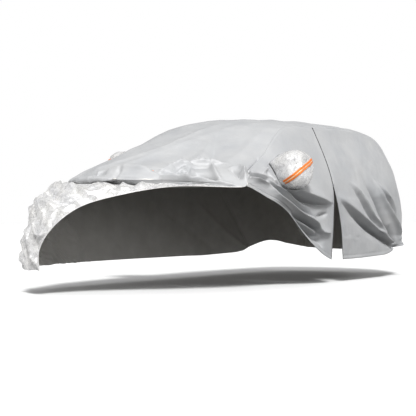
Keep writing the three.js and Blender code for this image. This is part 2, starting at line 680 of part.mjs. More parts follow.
// The slider, a waisted plate standing on the end of the closed zip
function addSlider() {
  const width = 15;
  const height = 27;
  const waist = 4;
  const thickness = 6;
  const clearance = 1.2;
  const outline = new THREE.Shape();
  outline.moveTo(-waist, -height / 2);
  outline.lineTo(waist, -height / 2);
  outline.lineTo(width / 2, height / 6);
  outline.quadraticCurveTo(width / 2, height / 2, 0, height / 2);
  outline.quadraticCurveTo(-width / 2, height / 2, -width / 2, height / 6);
  outline.lineTo(-waist, -height / 2);
  const body = new THREE.ExtrudeGeometry(outline, { depth: thickness, bevelEnabled: false,
    curveSegments: 5 });
  const [front, rear] = [zipFront, zipRear].map((hoop) => surfacePoint(lineAt(U, hoop), lineAt(V, leftBelt)));
  const out = front.normal.add(rear.normal).normalize();
  const up = new THREE.Vector3(0, 0, 1).addScaledVector(out, -out.z).normalize();
  const place = front.place.add(rear.place).divideScalar(2).addScaledVector(out, clearance);
  const slider = add("zip_slider", body, STEEL);
  slider.quaternion.setFromRotationMatrix(new THREE.Matrix4().makeBasis(up.clone().cross(out), up, out));
  slider.position.copy(place);
}
addSlider();

cover.position.copy(ROOF_MOUNT).negate();

export default cover;
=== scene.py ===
"""A fitted silver car cover, drawn back from the car's front left corner and open at its door zip.

The cloth is a net of hoops (across the car) and rails (along it), blended smoothly and folded. It is
worked out in millimetres over the ground, with the nose towards -Y and the car's left side at +X.
to_row() turns it into metres in the row frame, whose origin is the mount under the roof.
"""
import math

import bpy
import numpy as np
from mathutils import Matrix, Vector


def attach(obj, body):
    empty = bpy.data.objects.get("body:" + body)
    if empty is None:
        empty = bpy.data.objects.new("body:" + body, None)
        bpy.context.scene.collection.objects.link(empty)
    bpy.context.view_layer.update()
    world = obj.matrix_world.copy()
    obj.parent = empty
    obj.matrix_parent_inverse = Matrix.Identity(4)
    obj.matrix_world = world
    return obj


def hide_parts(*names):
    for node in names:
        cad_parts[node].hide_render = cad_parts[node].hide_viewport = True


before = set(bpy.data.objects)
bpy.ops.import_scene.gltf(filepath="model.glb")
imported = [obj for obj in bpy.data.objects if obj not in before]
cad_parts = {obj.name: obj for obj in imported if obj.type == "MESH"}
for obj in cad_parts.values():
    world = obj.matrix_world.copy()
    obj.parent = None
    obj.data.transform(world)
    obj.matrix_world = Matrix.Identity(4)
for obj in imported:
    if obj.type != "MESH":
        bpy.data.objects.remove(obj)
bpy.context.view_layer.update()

MOUNT = np.array([0.0, 800.0, 1568.0])  # the row frame's origin, in millimetres over the ground
FLOOR_Z = -MOUNT[2] / 1000
CLOTH, TAPE = 0.0025, 0.0012  # thicknesses in metres

# ---- the net ----------------------------------------------------------------------------------

# A hoop has nine points, from the right hem over the ridge to the left hem. One of six ends at the free
# edge that crosses the bonnet, and one of five is the right half of an even hoop.
NET = {
    "noseHem": [
        (-820, -1720, 208), (-752, -1880, 205), (-655, -1995, 204),
        (-540, -2090, 203), (-420, -2148, 203), (-300, -2185, 203),
    ],
    "bumper": [
        (-865, -1580, 210), (-805, -1790, 330), (-700, -1975, 385),
        (-560, -2105, 385), (-415, -2180, 375), (-268, -2215, 362),
    ],
    "grille": [
        (-885, -1420, 212), (-825, -1660, 430), (-700, -1890, 590),
        (-540, -2050, 600), (-345, -2160, 580), (-130, -2205, 545),
    ],
    "bonnetFront": [
        (-895, -1270, 214), (-855, -1530, 480), (-700, -1780, 730),
        (-505, -1930, 800), (-250, -2050, 760), (30, -2070, 705),
    ],
    "bonnetMiddle": [
        (-902, -1130, 216), (-880, -1380, 500), (-760, -1620, 810),
        (-505, -1740, 895), (-100, -1880, 848), (300, -1855, 806),
    ],
    "bonnetRear": [
        (-905, -1000, 217), (-892, -1230, 520), (-805, -1450, 830),
        (-520, -1600, 905), (60, -1680, 878), (610, -1600, 866),
    ],
    "tuck": [
        (-907, -900, 218), (-900, -1120, 530), (-830, -1320, 850),
        (-550, -1430, 905), (0, -1465, 895), (925, -1075, 866),
    ],
    "lip": [
        (-908, -840, 218), (-902, -1060, 535), (-840, -1260, 865),
        (-600, -1525, 935), (0, -1562, 940), (930, -1045, 878),
        (935, -1049, 873), (938, -1053, 868), (940, -1057, 863),
    ],
    "lipTop": [
        (-909, -780, 218), (-905, -1000, 540), (-850, -1190, 880),
        (-600, -1400, 1000), (0, -1425, 1008), (898, -985, 948),
        (914, -992, 909), (926, -997, 882), (934, -1000, 854),
    ],
    "pillarFoot": [
        (-910, -640, 219), (-910, -820, 550), (-870, -980, 900),
        (-600, -1125, 1100), (0, -1050, 1125), (800, -840, 1016),
        (893, -826, 935), (922, -818, 861), (932, -810, 794),
    ],
    "mirror": [
        (-910, -350, 220), (-920, -500, 560), (-885, -620, 920),
        (-600, -715, 1236), (0, -720, 1280), (715, -500, 1145),
        (893, -500, 925), (930, -497, 800), (935, -493, 681),
    ],
    "header": [
        (-910, 50, 220), (-925, -20, 560), (-890, -60, 930),
        (-600, -115, 1457), (0, -100, 1505), (600, 35, 1431),
        (885, -12, 945), (928, -35, 640), (932, -55, 382),
    ],
    "zipFront": [
        (-910, 360, 220), (-925, 360, 560), (-900, 380, 920),
        (-620, 420, 1470), (0, 470, 1556), (615, 486, 1441),
        (905, 375, 900), (927, 347, 560), (910, 330, 222),
    ],
    "zipRear": [
        (-910, 500, 220), (-930, 520, 560), (-905, 550, 920),
        (-620, 560, 1474), (0, 600, 1564), (615, 498, 1441),
        (905, 387, 900), (930, 474, 560), (912, 548, 216),
    ],
    "roofMiddle": [
        (-915, 790, 216), (-930, 850, 560), (-903, 880, 920), (-605, 1030, 1453), (0, 1100, 1573),
    ],
    "roofRear": [
        (-912, 1150, 224), (-925, 1200, 560), (-892, 1270, 930), (-603, 1480, 1440), (0, 1600, 1560),
    ],
    "tailShoulder": [
        (-905, 1420, 236), (-910, 1480, 560), (-862, 1580, 950), (-612, 1775, 1382), (0, 1930, 1480),
    ],
    "tailWindow": [
        (-890, 1620, 275), (-882, 1700, 530), (-802, 1845, 950), (-600, 2030, 1215), (0, 2160, 1230),
    ],
    "tailgate": [
        (-862, 1800, 330), (-840, 1870, 470), (-768, 2010, 740), (-560, 2205, 860), (0, 2275, 870),
    ],
    "tailBumper": [
        (-815, 1925, 352), (-790, 1990, 400), (-710, 2110, 490), (-520, 2235, 500), (0, 2300, 500),
    ],
    "tailHem": [
        (-755, 2000, 350), (-715, 2060, 325), (-630, 2135, 300), (-480, 2195, 270), (0, 2255, 250),
    ],
}
RAILS = "right_hem right_door right_belt right_seam ridge left_seam left_belt left_door left_hem".split()
HOOP = {name: number for number, name in enumerate(NET)}
RAIL = {name: number for number, name in enumerate(RAILS)}
TUCK, LIP, MIRROR = HOOP["tuck"], HOOP["lip"], HOOP["mirror"]
ZIP_FRONT, ZIP_REAR = HOOP["zipFront"], HOOP["zipRear"]
RIGHT_SEAM, LEFT_SEAM, LEFT_BELT = RAIL["right_seam"], RAIL["left_seam"], RAIL["left_belt"]
LAST_HOOP, LAST_RAIL = len(NET) - 1, len(RAILS) - 1
CREASE = np.array([0.7 if "seam" in name else 0 for name in RAILS])  # 1 for a sharp edge
ZIP_WIDTH = 12.0


def whole(points):
    """All nine points of a hoop."""
    if len(points) == 5:
        return points + [(-x, y, z) for x, y, z in points[-2::-1]]
    return points + points[-1:] * (len(RAILS) - len(points))


POINTS = np.array([whole(points) for points in NET.values()], float)

# Folds by the part of the cover that they lie on: its first and last hoop, its first and last rail, and its
# folds. A fold is its lean, which makes one side steeper, and its points (x, y, z, lift, width), where lift
# is its height out of the cloth and width the distance at which it has mostly died away. Folds also die
# away at the ends of their part, but not at the cover's own edges.
FOLDS = {
    "flap": (  # pleats fanning from the pillar foot to the zip
        (7, 12), (5, 7.98),
        (-0.5, (890, -640, 935, 10, 46), (905, -480, 897, 40, 54), (920, -330, 842, 62, 56),
         (920, -120, 800, 72, 60), (925, 110, 765, 56, 54), (925, 280, 738, 18, 42)),
        (0, (900, -600, 898, -12, 18), (915, -460, 856, -44, 24), (920, -320, 796, -60, 30),
         (920, -120, 748, -62, 34), (925, 80, 722, -44, 30), (925, 230, 712, -12, 22)),
        (-0.3, (900, -670, 912, 12, 22), (920, -560, 858, 34, 24), (925, -430, 808, 36, 28),
         (925, -240, 736, 26, 34), (920, -60, 695, 10, 40)),
        (0, (905, -690, 902, -10, 16), (922, -570, 832, -40, 20), (928, -450, 770, -54, 26),
         (928, -270, 700, -46, 32), (925, -80, 648, -30, 34), (925, 60, 600, -10, 30)),
        (0.2, (910, -700, 890, 12, 26), (925, -620, 808, 36, 30), (930, -470, 738, 56, 36),
         (930, -290, 650, 60, 38), (930, -110, 598, 56, 36), (930, 20, 556, 46, 34),
         (930, 110, 490, 20, 30)),
        (0, (930, -400, 640, -10, 18), (930, -260, 600, -52, 20), (930, -110, 553, -72, 22),
         (930, 40, 505, -60, 22), (930, 100, 465, -24, 20)),
        (0, (930, -320, 596, 0, 14), (930, -200, 545, 26, 16), (930, -90, 500, 32, 16),
         (930, 30, 470, 10, 14)),
        (0, (930, -380, 610, -12, 18), (930, -250, 545, -46, 22), (930, -120, 478, -56, 24),
         (930, 0, 445, -52, 26), (930, 90, 436, -28, 26)),
        (-0.4, (925, 60, 486, 16, 26), (925, 170, 470, 32, 30), (920, 260, 462, 20, 30)),
        (0, (925, -60, 430, -22, 30), (925, 50, 408, -40, 38), (920, 130, 392, -44, 36),
         (918, 150, 350, -22, 28)),
        (0, (930, 80, 618, -10, 16), (930, 160, 628, -32, 18), (930, 230, 640, -8, 14)),
    ),
    "rear": (  # the left rear side, converging on the gather by the wheel
        (13, 20), (5, 8),
        (-0.2, (930, 430, 800, 4, 56), (930, 600, 730, 26, 60), (930, 780, 655, 40, 60),
         (930, 930, 588, 50, 56), (930, 1060, 536, 52, 50), (920, 1190, 486, 50, 42),
         (915, 1330, 426, 48, 34), (905, 1490, 364, 40, 28), (890, 1620, 322, 28, 22)),
        (0, (930, 500, 735, -8, 42), (930, 680, 652, -36, 48), (930, 860, 570, -58, 50),
         (930, 1040, 492, -72, 46), (920, 1200, 432, -70, 36), (912, 1350, 378, -56, 28),
         (900, 1500, 332, -42, 22), (890, 1620, 296, -28, 18)),
        (-0.4, (900, 740, 940, 4, 34), (915, 840, 848, 26, 40), (930, 950, 742, 36, 44),
         (930, 1080, 612, 40, 44), (925, 1200, 540, 36, 40), (915, 1320, 460, 22, 32)),
        (0, (905, 740, 890, -4, 22), (922, 840, 800, -24, 28), (930, 960, 680, -36, 32),
         (928, 1090, 560, -34, 32), (920, 1220, 480, -16, 26)),
        (0, (890, 1010, 1000, -4, 36), (910, 1070, 880, -22, 40), (915, 1190, 760, -38, 46),
         (910, 1310, 640, -50, 48), (905, 1430, 520, -58, 42), (895, 1570, 410, -52, 30),
         (888, 1640, 340, -36, 20)),
        (-0.1, (885, 1210, 960, 8, 26), (905, 1290, 840, 36, 30), (910, 1390, 735, 50, 32),
         (905, 1500, 630, 58, 32), (895, 1600, 540, 60, 30), (885, 1680, 450, 50, 28),
         (880, 1710, 390, 28, 24)),
        (0, (890, 1270, 895, -4, 20), (908, 1360, 805, -36, 24), (905, 1470, 715, -50, 28),
         (900, 1560, 630, -44, 26), (893, 1630, 560, -20, 22)),
        (-0.2, (890, 1290, 925, 8, 24), (908, 1400, 842, 32, 28), (905, 1500, 770, 40, 30),
         (900, 1590, 680, 36, 30), (893, 1650, 590, 16, 28)),
        (0, (895, 1560, 350, -22, 20), (888, 1640, 312, -40, 22), (880, 1690, 292, -36, 22)),
        (0, (880, 1700, 400, 10, 20), (872, 1730, 340, 32, 22), (865, 1740, 300, 28, 20)),
    ),
    "windscreen": (  # soft folds from the header towards the bonnet
        (8, 12), (3, 5),
        (0.3, (-420, -1380, 1030, 14, 60), (-270, -1160, 1100, 22, 66), (-120, -980, 1170, 24, 70),
         (-30, -740, 1270, 20, 74), (30, -350, 1430, 8, 70)),
        (0, (-180, -1250, 1080, 16, 60), (60, -760, 1260, 14, 66), (240, -150, 1480, 6, 60)),
        (0, (470, -930, 1070, -20, 36), (410, -800, 1140, -22, 44), (300, -610, 1260, -16, 56),
         (150, -340, 1410, -6, 60)),
        (0, (330, -1000, 1080, 16, 50), (300, -760, 1180, 16, 60), (180, -500, 1330, 8, 60)),
        (0, (600, -900, 1060, 16, 60), (560, -560, 1200, 16, 66), (500, -120, 1430, 8, 60)),
    ),
    "bunch": (  # cloth bunched above the lip
        (6, 9.5), (3, 5.5),
        (0, (-560, -1540, 940, 14, 30), (-420, -1560, 940, 34, 34), (-280, -1580, 945, 34, 32),
         (-100, -1585, 945, 14, 28)),
        (0, (-560, -1470, 965, -10, 24), (-400, -1500, 975, -22, 26), (-200, -1520, 985, -18, 24)),
        (0, (-300, -1560, 950, 6, 20), (-290, -1500, 990, 26, 22), (-270, -1450, 1010, 14, 24)),
        (0, (-180, -1470, 1005, 24, 36), (-40, -1430, 1015, 44, 40), (110, -1400, 1010, 42, 38),
         (240, -1380, 985, 16, 30)),
        (0, (-150, -1390, 1030, -14, 34), (0, -1340, 1040, -26, 36), (150, -1310, 1035, -24, 34),
         (260, -1260, 1040, -12, 30)),
        (0, (-50, -1540, 965, -12, 12), (-65, -1480, 992, -20, 12), (-70, -1440, 1010, -8, 12)),
        (0, (210, -1370, 990, -18, 12), (290, -1350, 980, -18, 12)),
        (-0.3, (270, -1330, 1000, 20, 24), (290, -1240, 1035, 46, 26), (330, -1140, 1055, 56, 26),
         (385, -1100, 1045, 34, 22)),
        (0, (300, -1330, 985, -18, 16), (380, -1290, 990, -38, 18), (420, -1220, 1005, -26, 16)),
        (0, (340, -1390, 945, 24, 20), (430, -1350, 950, 42, 22), (520, -1300, 940, 30, 20)),
        (0, (415, -1110, 1030, 14, 14), (490, -1210, 985, 30, 16), (520, -1300, 940, 16, 14)),
        (-0.4, (350, -1060, 1062, 24, 30), (430, -990, 1065, 58, 34), (500, -930, 1070, 56, 32),
         (570, -890, 1065, 14, 26)),
        (0, (390, -1120, 1020, -14, 20), (470, -1060, 1015, -30, 22), (540, -1010, 1010, -26, 20)),
        (0, (500, -1230, 972, -6, 18), (580, -1215, 950, -16, 20), (660, -1185, 938, -40, 20),
         (720, -1165, 925, -20, 20)),
        (0, (505, -950, 1062, 16, 16), (570, -1030, 1025, 44, 20), (640, -1100, 985, 48, 20),
         (730, -1150, 925, 28, 18)),
        (0, (480, -1330, 930, 20, 16), (570, -1270, 932, 34, 18), (630, -1225, 938, 34, 18),
         (710, -1190, 922, 26, 16), (830, -1120, 890, 12, 24)),
        (0, (690, -920, 1020, 14, 22), (760, -890, 1012, 34, 22), (840, -950, 982, 40, 22),
         (885, -1010, 930, 8, 20)),
        (0, (720, -960, 995, -14, 18), (800, -990, 985, -34, 20), (860, -1030, 940, -12, 20)),
    ),
    "pillar": (  # the pillar's foot, where the creases of the flap gather
        (7, 10), (4.5, 7),
        (0, (820, -980, 1000, 8, 18), (860, -930, 980, 20, 18), (872, -830, 962, 32, 20),
         (880, -740, 950, 28, 20), (890, -640, 932, 10, 20)),
        (0, (840, -1010, 965, -10, 16), (875, -900, 955, -26, 14), (885, -800, 940, -30, 16),
         (895, -710, 925, -20, 16)),
        (0, (900, -960, 938, 16, 16), (905, -880, 920, 34, 18), (908, -790, 905, 28, 18),
         (910, -720, 890, 14, 18)),
        (0, (850, -700, 980, 12, 18), (822, -590, 1020, 26, 18), (805, -530, 1050, 12, 18)),
        (0, (890, -600, 930, -14, 20), (870, -620, 970, -24, 22), (850, -620, 1000, -12, 20)),
        (0, (840, -890, 990, -10, 14), (780, -760, 1050, -20, 14), (725, -570, 1130, -18, 16),
         (680, -420, 1210, -6, 18)),
    ),
    "front": (  # the front panel, crumpled over the bonnet and down the nose
        (0, 6), (0, 4.98),
        (0.3, (-560, -1700, 890, 20, 50), (-440, -1820, 870, 42, 52), (-340, -1820, 870, 40, 50),
         (-160, -1920, 840, 14, 44)),
        (0, (-480, -1900, 840, -22, 34), (-370, -1960, 810, -34, 38), (-220, -2030, 775, -26, 36),
         (-20, -2060, 725, -10, 30)),
        (0, (-560, -1960, 760, 20, 40), (-380, -2040, 745, 28, 42), (-200, -2100, 700, 16, 36)),
        (0, (-260, -1830, 870, 16, 28), (-90, -1910, 835, 26, 30), (70, -1960, 785, 14, 26)),
        (0, (-230, -1900, 850, -10, 22), (-40, -1960, 800, -22, 24), (90, -2000, 760, -10, 22)),
        (0, (-690, -1850, 700, 28, 46), (-500, -2060, 640, 30, 44), (-360, -2170, 565, 26, 42),
         (-300, -2200, 480, 14, 36)),
        (0, (-600, -1990, 700, -24, 36), (-480, -2090, 600, -30, 38), (-440, -2160, 480, -26, 36),
         (-400, -2185, 350, -14, 34)),
        (0, (-480, -1950, 790, 14, 34), (-360, -2090, 690, 24, 34), (-270, -2150, 640, 20, 30),
         (-240, -2190, 560, 8, 26)),
        (0, (-720, -1900, 560, -26, 44), (-600, -2050, 500, -30, 44), (-540, -2100, 400, -24, 42),
         (-500, -2120, 280, -16, 40)),
        (0, (-520, -2100, 520, 20, 36), (-430, -2170, 440, 30, 38), (-380, -2190, 350, 28, 36),
         (-340, -2190, 260, 20, 34)),
        (0, (-760, -1880, 430, 24, 46), (-680, -1980, 380, 26, 46), (-620, -2030, 290, 20, 44)),
        (0, (-300, -2200, 490, 16, 22), (-230, -2215, 482, 24, 22), (-180, -2220, 490, 10, 20)),
        (0, (-300, -2200, 440, -10, 20), (-310, -2210, 380, -20, 22), (-330, -2200, 300, -14, 22)),
        (0, (-200, -1560, 900, 16, 50), (-100, -1700, 885, 20, 48), (60, -1800, 860, 12, 40)),
        (0, (60, -1600, 885, -16, 22), (160, -1780, 850, -20, 22), (240, -1870, 800, -8, 20)),
        (0, (130, -1600, 885, 14, 20), (200, -1750, 860, 20, 20), (280, -1830, 825, 8, 18)),
        (0, (220, -1600, 882, -14, 18), (290, -1720, 860, -18, 18), (350, -1800, 830, -6, 16)),
        (0, (290, -1580, 882, 12, 20), (350, -1690, 865, 18, 20), (430, -1760, 840, 8, 18)),
        (0, (380, -1500, 885, -16, 24), (440, -1620, 872, -18, 24), (510, -1660, 862, -8, 20)),
    ),
    "right": (  # slack cloth on the right side
        (9, 20), (0, 3),
        (0, (-905, -300, 900, 10, 80), (-925, 300, 640, 20, 80), (-905, 1000, 300, 24, 80)),
        (0, (-905, 500, 930, -10, 70), (-925, 900, 640, -22, 75), (-905, 1500, 290, -28, 70)),
        (0, (-880, 1000, 1020, 8, 60), (-905, 1350, 700, 24, 65), (-890, 1640, 320, 30, 60)),
    ),
    "tail": (  # the cloth over the tailgate
        (15, 20), (3, 5),
        (0, (-520, 2090, 1160, 8, 80), (-300, 2240, 900, 18, 80), (-200, 2290, 420, 22, 80)),
        (0, (480, 2120, 1150, -8, 80), (250, 2260, 880, -18, 80), (60, 2300, 420, -22, 80)),
    ),
}
# Finer folds, in the same form
FINER_FOLDS = {
    "recess": (  # the dark recess under the overhanging lip
        (6, 7.5), (3, 5),
        (0, (-560, -1455, 912, -12, 20), (-420, -1475, 910, -28, 24), (-200, -1490, 906, -32, 26),
         (0, -1500, 904, -34, 26), (200, -1470, 900, -36, 26), (420, -1390, 896, -36, 24),
         (640, -1280, 888, -26, 20), (820, -1160, 878, -10, 14)),
    ),
    "hollow": (  # the deepest hollow of the bunched cloth, and the sag of its highest fold
        (6, 9.5), (3, 5),
        (0, (500, -1205, 985, -16, 18), (580, -1190, 968, -46, 24), (660, -1180, 942, -36, 20),
         (720, -1165, 925, -10, 16)),
        (0, (350, -1060, 1070, -8, 40), (430, -990, 1090, -24, 44), (500, -930, 1095, -24, 44),
         (570, -890, 1085, -8, 40)),
    ),
    "fullness": (  # broad swells of the windscreen and of the roof's left edge
        (8, 18), (3, 6),
        (0, (-480, -1080, 1100, 10, 200), (-420, -800, 1230, 30, 220), (-330, -450, 1390, 28, 220),
         (-200, -100, 1500, 8, 200)),
        (0, (560, 300, 1450, 8, 130), (580, 800, 1460, 24, 140), (590, 1300, 1450, 24, 140),
         (600, 1700, 1400, 10, 120)),
    ),
    "gather": (  # where the rear hem is drawn together
        (16, 20), (6, 8),
        (0, (872, 1740, 350, 14, 36), (868, 1745, 300, 30, 40), (866, 1745, 270, 30, 40)),
        (0, (905, 1440, 560, -14, 26), (897, 1550, 440, -26, 22), (890, 1630, 350, -20, 16)),
    ),
}


def sharpened(parts, deep=0.5, tall=0.3, least=24, narrow=0.4, narrowest=12):
    """Narrow creases along the folds that lift the cloth by least or more, so that their lines are crisp.
    deep and tall are the creases' shares of a valley's and a crest's lift."""
    out = []
    for hoops, rails, *folds in parts:
        lines = []
        for lean, *rows in folds:
            if max(abs(row[3]) for row in rows) >= least:
                lines.append((lean, *(
                    (x, y, z, lift * (deep if lift < 0 else tall), max(narrow * width, narrowest))
                    for x, y, z, lift, width in rows
                )))
        out.append((hoops, rails, *lines))
    return out


ALL_FOLDS = (
    list(FOLDS.values())
    + sharpened([part for name, part in FOLDS.items() if name != "bunch"])
    + sharpened([FOLDS["bunch"]], deep=1.1, tall=0.45, least=14)
    + list(FINER_FOLDS.values())
)

FOLD_POWER = 1.35  # 2 gives rounded crests and 1 gives knife edges
OFF_CLOTH = 0.8  # share of the distance out of the cloth that doesn't count

# A mirror pocket sits over a window in its panel, between some hoops and rails. It is a rounded box, given
# by its middle and half its size, and its tape runs over it in these directions out of the middle.
POCKETS = {
    "left": {
        "panel": "left_front_panel", "hoops": (MIRROR, MIRROR + 5 / 12), "rails": (5 + 1 / 3, 6 + 1 / 6),
        "middle": (945, -385, 1018), "half": (165, 188, 168), "seed": 40,
        "tape": ((0.1, -0.82, -0.6), (0.54, -0.77, -0.33), (0.8, -0.58, -0.1), (0.97, -0.21, 0.14),
                 (0.8, 0.45, 0.4)),
    },
    "right": {
        "panel": "right_panel", "hoops": (MIRROR + 1 / 4, MIRROR + 7 / 12), "rails": (2 + 1 / 6, 2 + 2 / 3),
        "middle": (-935, -390, 1090), "half": (165, 168, 168), "seed": 60,
        "tape": ((0.1, -0.93, 0.34), (-0.54, -0.76, 0.38), (-0.85, -0.42, 0.3), (-0.95, 0.1, 0.24),
                 (-0.85, 0.45, 0.24)),
    },
}
SQUARENESS = 2.5  # of a pocket's rounded box
POCKET_CALM = 1.4  # where the folds are back to their full height, in the box's own measure


def extended(points):
    """Points with one more at each end, straight on."""
    return np.concatenate([2 * points[:1] - points[1:2], points, 2 * points[-1:] - points[-2:-1]])


def spline(points, at, crease=None):
    """Centripetal Catmull-Rom curve through points, along their first axis."""
    last = len(points) - 1
    i = np.minimum(at.astype(int), last - 1)
    column = (-1,) + (1,) * (points.ndim - 1)
    t = (at - i).reshape(column)
    a, b, c, d = (extended(points)[i + k] for k in range(4))
    before, here, after = (
        np.sqrt(np.maximum(np.linalg.norm(q - p, axis=-1, keepdims=True), 1))
        for p, q in ((a, b), (b, c), (c, d))
    )
    bend_b = ((b - a) / before - (c - a) / (before + here)) * here
    bend_c = ((d - c) / after - (d - b) / (here + after)) * here
    if crease is not None:
        bend_b = bend_b * (1 - crease[i]).reshape(column)
        bend_c = bend_c * (1 - crease[i + 1]).reshape(column)
    slope_b = c - b + bend_b
    slope_c = c - b + bend_c
    return (
        (2 * t**3 - 3 * t**2 + 1) * b
        + (t**3 - 2 * t**2 + t) * slope_b
        + (3 * t**2 - 2 * t**3) * c
        + (t**3 - t**2) * slope_c
    )


def smooth_surface(u, v):
    """Points of the unfolded cloth, as an array over hoops u and rails v."""
    rows = np.array([spline(row, v, CREASE) for row in POINTS])
    zipped = (v >= LEFT_SEAM) & (v <= LEFT_BELT)
    rows[ZIP_REAR, zipped] = rows[ZIP_FRONT, zipped] + [0, ZIP_WIDTH, 0]
    return spline(rows, u)


def unit(vectors):
    return vectors / np.maximum(np.linalg.norm(vectors, axis=-1, keepdims=True), 1e-9)


def square_to(vectors, normals):
    """Unit vectors at right angles to unit normals, from vectors that lean along them."""
    return unit(vectors - (vectors * normals).sum(-1, keepdims=True) * normals)


def outward(u, v):
    """Unit normals of the unfolded cloth."""
    step = 0.02
    along = smooth_surface(np.minimum(u + step, LAST_HOOP), v) - smooth_surface(np.maximum(u - step, 0), v)
    across = smooth_surface(u, np.minimum(v + step, LAST_RAIL)) - smooth_surface(u, np.maximum(v - step, 0))
    return unit(np.cross(across, along))


def smoothstep(x, low, high):
    t = np.clip((x - low) / (high - low), 0, 1)
    return t * t * (3 - 2 * t)


def within(bounds, at, last, fade=0.25):
    """1 inside a range of rows, dying away before its ends that aren't an end of the cover."""
    low, high = bounds
    rise = smoothstep(at, low, low + fade) if low > 0 else np.ones_like(at)
    fall = 1 - smoothstep(at, high - fade, high) if high < last else np.ones_like(at)
    return rise * fall


def fold_lift(place, normal, fold, steps=3):
    """Height of one fold at some places of the cloth."""
    lean, *rows = fold
    rows = np.array(rows, float)
    at = np.linspace(0, len(rows) - 1, steps * (len(rows) - 1) + 1)
    line = spline(rows[:, :3], at)
    lifts = np.interp(at, np.arange(len(rows)), rows[:, 3])
    widths = np.interp(at, np.arange(len(rows)), rows[:, 4])
    best = np.full(len(place), np.inf)
    lift, width = np.zeros(len(place)), np.ones(len(place))
    for k in range(len(at) - 1):
        run = line[k + 1] - line[k]
        gap = place - line[k]
        t = np.clip(gap @ run / (run @ run), 0, 1)
        gap = gap - t[:, None] * run
        gap = gap - OFF_CLOTH * np.sum(gap * normal, axis=1, keepdims=True) * normal
        distance = np.linalg.norm(gap, axis=1)
        side = np.sign(np.sum(np.cross(run, normal) * gap, axis=1))
        closer = distance < best
        best = np.where(closer, distance, best)
        lift = np.where(closer, lifts[k] + t * (lifts[k + 1] - lifts[k]), lift)
        width = np.where(closer, (widths[k] + t * (widths[k + 1] - widths[k])) * (1 + lean * side), width)
    return lift * np.exp(-((best / width) ** FOLD_POWER))


def clear_of_pockets(place):
    """0 where a pocket stands over the cloth and 1 clear of it."""
    calm = np.ones(place.shape[:2])
    for pocket in POCKETS.values():
        gap = np.abs((place - pocket["middle"]) / np.array(pocket["half"], float)) ** SQUARENESS
        here = place[..., 0] * pocket["middle"][0] > 0
        calm *= np.where(here, smoothstep(gap[..., 1] + gap[..., 2], 1, POCKET_CALM), 1)
    return calm


def folded(u, v):
    """Folded cloth and its unfolded normals, over hoops u and rails v."""
    place = smooth_surface(u, v)
    normal = outward(u, v)
    height = np.zeros(place.shape[:2])
    calm = clear_of_pockets(place)
    for hoops, rails, *folds in ALL_FOLDS:
        share = np.outer(within(hoops, u, LAST_HOOP), within(rails, v, LAST_RAIL))
        here = share > 0
        for fold in folds:
            if here.any():
                height[here] += share[here] * fold_lift(place[here], normal[here], fold)
    return place + (calm * height)[..., None] * normal, normal


# ---- wrinkles ---------------------------------------------------------------------------------

TABLE = 64  # random values repeat after this many cells


def facets(s, t, size, seed):
    """Random heights (-1 to 1) joined by flat triangles: the creases of crumpled foil."""
    random = np.random.default_rng(seed)
    heights = random.uniform(-1, 1, (TABLE, TABLE))
    turn = random.uniform(0, math.pi)
    shift = random.uniform(0, TABLE, 4)
    x = (s * math.cos(turn) - t * math.sin(turn)) / size + shift[0]
    y = (s * math.sin(turn) + t * math.cos(turn)) / size + shift[1]
    x, y = (
        x + 0.55 * np.sin(0.9 * y + shift[2]) + 0.3 * np.sin(2.1 * x + shift[3]),
        y + 0.55 * np.sin(1.1 * x + shift[3]) + 0.3 * np.sin(1.7 * y + shift[2]),
    )
    x, y = x + y * 0.577, y * 1.155
    i, j = np.floor(x).astype(int), np.floor(y).astype(int)
    fx, fy = x - i, y - j

    def at(p, q):
        return heights[p % TABLE, q % TABLE]

    low = at(i, j) + fx * (at(i + 1, j) - at(i, j)) + fy * (at(i, j + 1) - at(i, j))
    high = (
        at(i + 1, j + 1)
        + (1 - fx) * (at(i, j + 1) - at(i + 1, j + 1))
        + (1 - fy) * (at(i + 1, j) - at(i + 1, j + 1))
    )
    return np.where(fx + fy < 1, low, high)


def ripples(s, t, size, seed):
    """Smooth random heights, about -1 to 1."""
    random = np.random.default_rng(seed)
    out = np.zeros_like(s)
    for _ in range(7):
        angle = random.uniform(0, math.tau)
        rate = math.tau / size * random.uniform(0.7, 1.5)
        phase = random.uniform(0, math.tau)
        bend = random.uniform(0.4, 1.0) * size / 3
        turned = s * math.cos(angle) + t * math.sin(angle)
        across = t * math.cos(angle) - s * math.sin(angle)
        out += np.sin(rate * (turned + bend * np.sin(across / size * 2.3 + phase)) + phase)
    return out / 4


def lengths(points):
    """Distances along both axes of a grid of points, as two arrays, in its own units."""
    s = np.zeros(points.shape[:2])
    t = np.zeros(points.shape[:2])
    middle_u, middle_v = points.shape[0] // 2, points.shape[1] // 2
    s[1:] = np.cumsum(np.linalg.norm(np.diff(points[:, middle_v], axis=0), axis=-1))[:, None]
    t[:, 1:] = np.cumsum(np.linalg.norm(np.diff(points[middle_u], axis=0), axis=-1))[None]
    return s, t


# Layers of wrinkles: their kind, size and depth
SLACK = ((ripples, 420, 4.5), (ripples, 150, 1.6), (facets, 210, 1.5), (facets, 70, 0.5))
FRONT_CRUMPLES = ((facets, 175, 24), (facets, 78, 12), (facets, 36, 4))
POCKET_CRUMPLES = ((facets, 95, 9), (facets, 42, 4), (facets, 19, 1.2))
BALL_CRUMPLES = ((facets, 56, 42), (facets, 28, 20))


def wrinkled(s, t, seed, layers):
    """Height of several layers of wrinkles, each with a seed of its own."""
    return sum(depth * kind(s, t, size, seed + n) for n, (kind, size, depth) in enumerate(layers))


# ---- pieces -----------------------------------------------------------------------------------


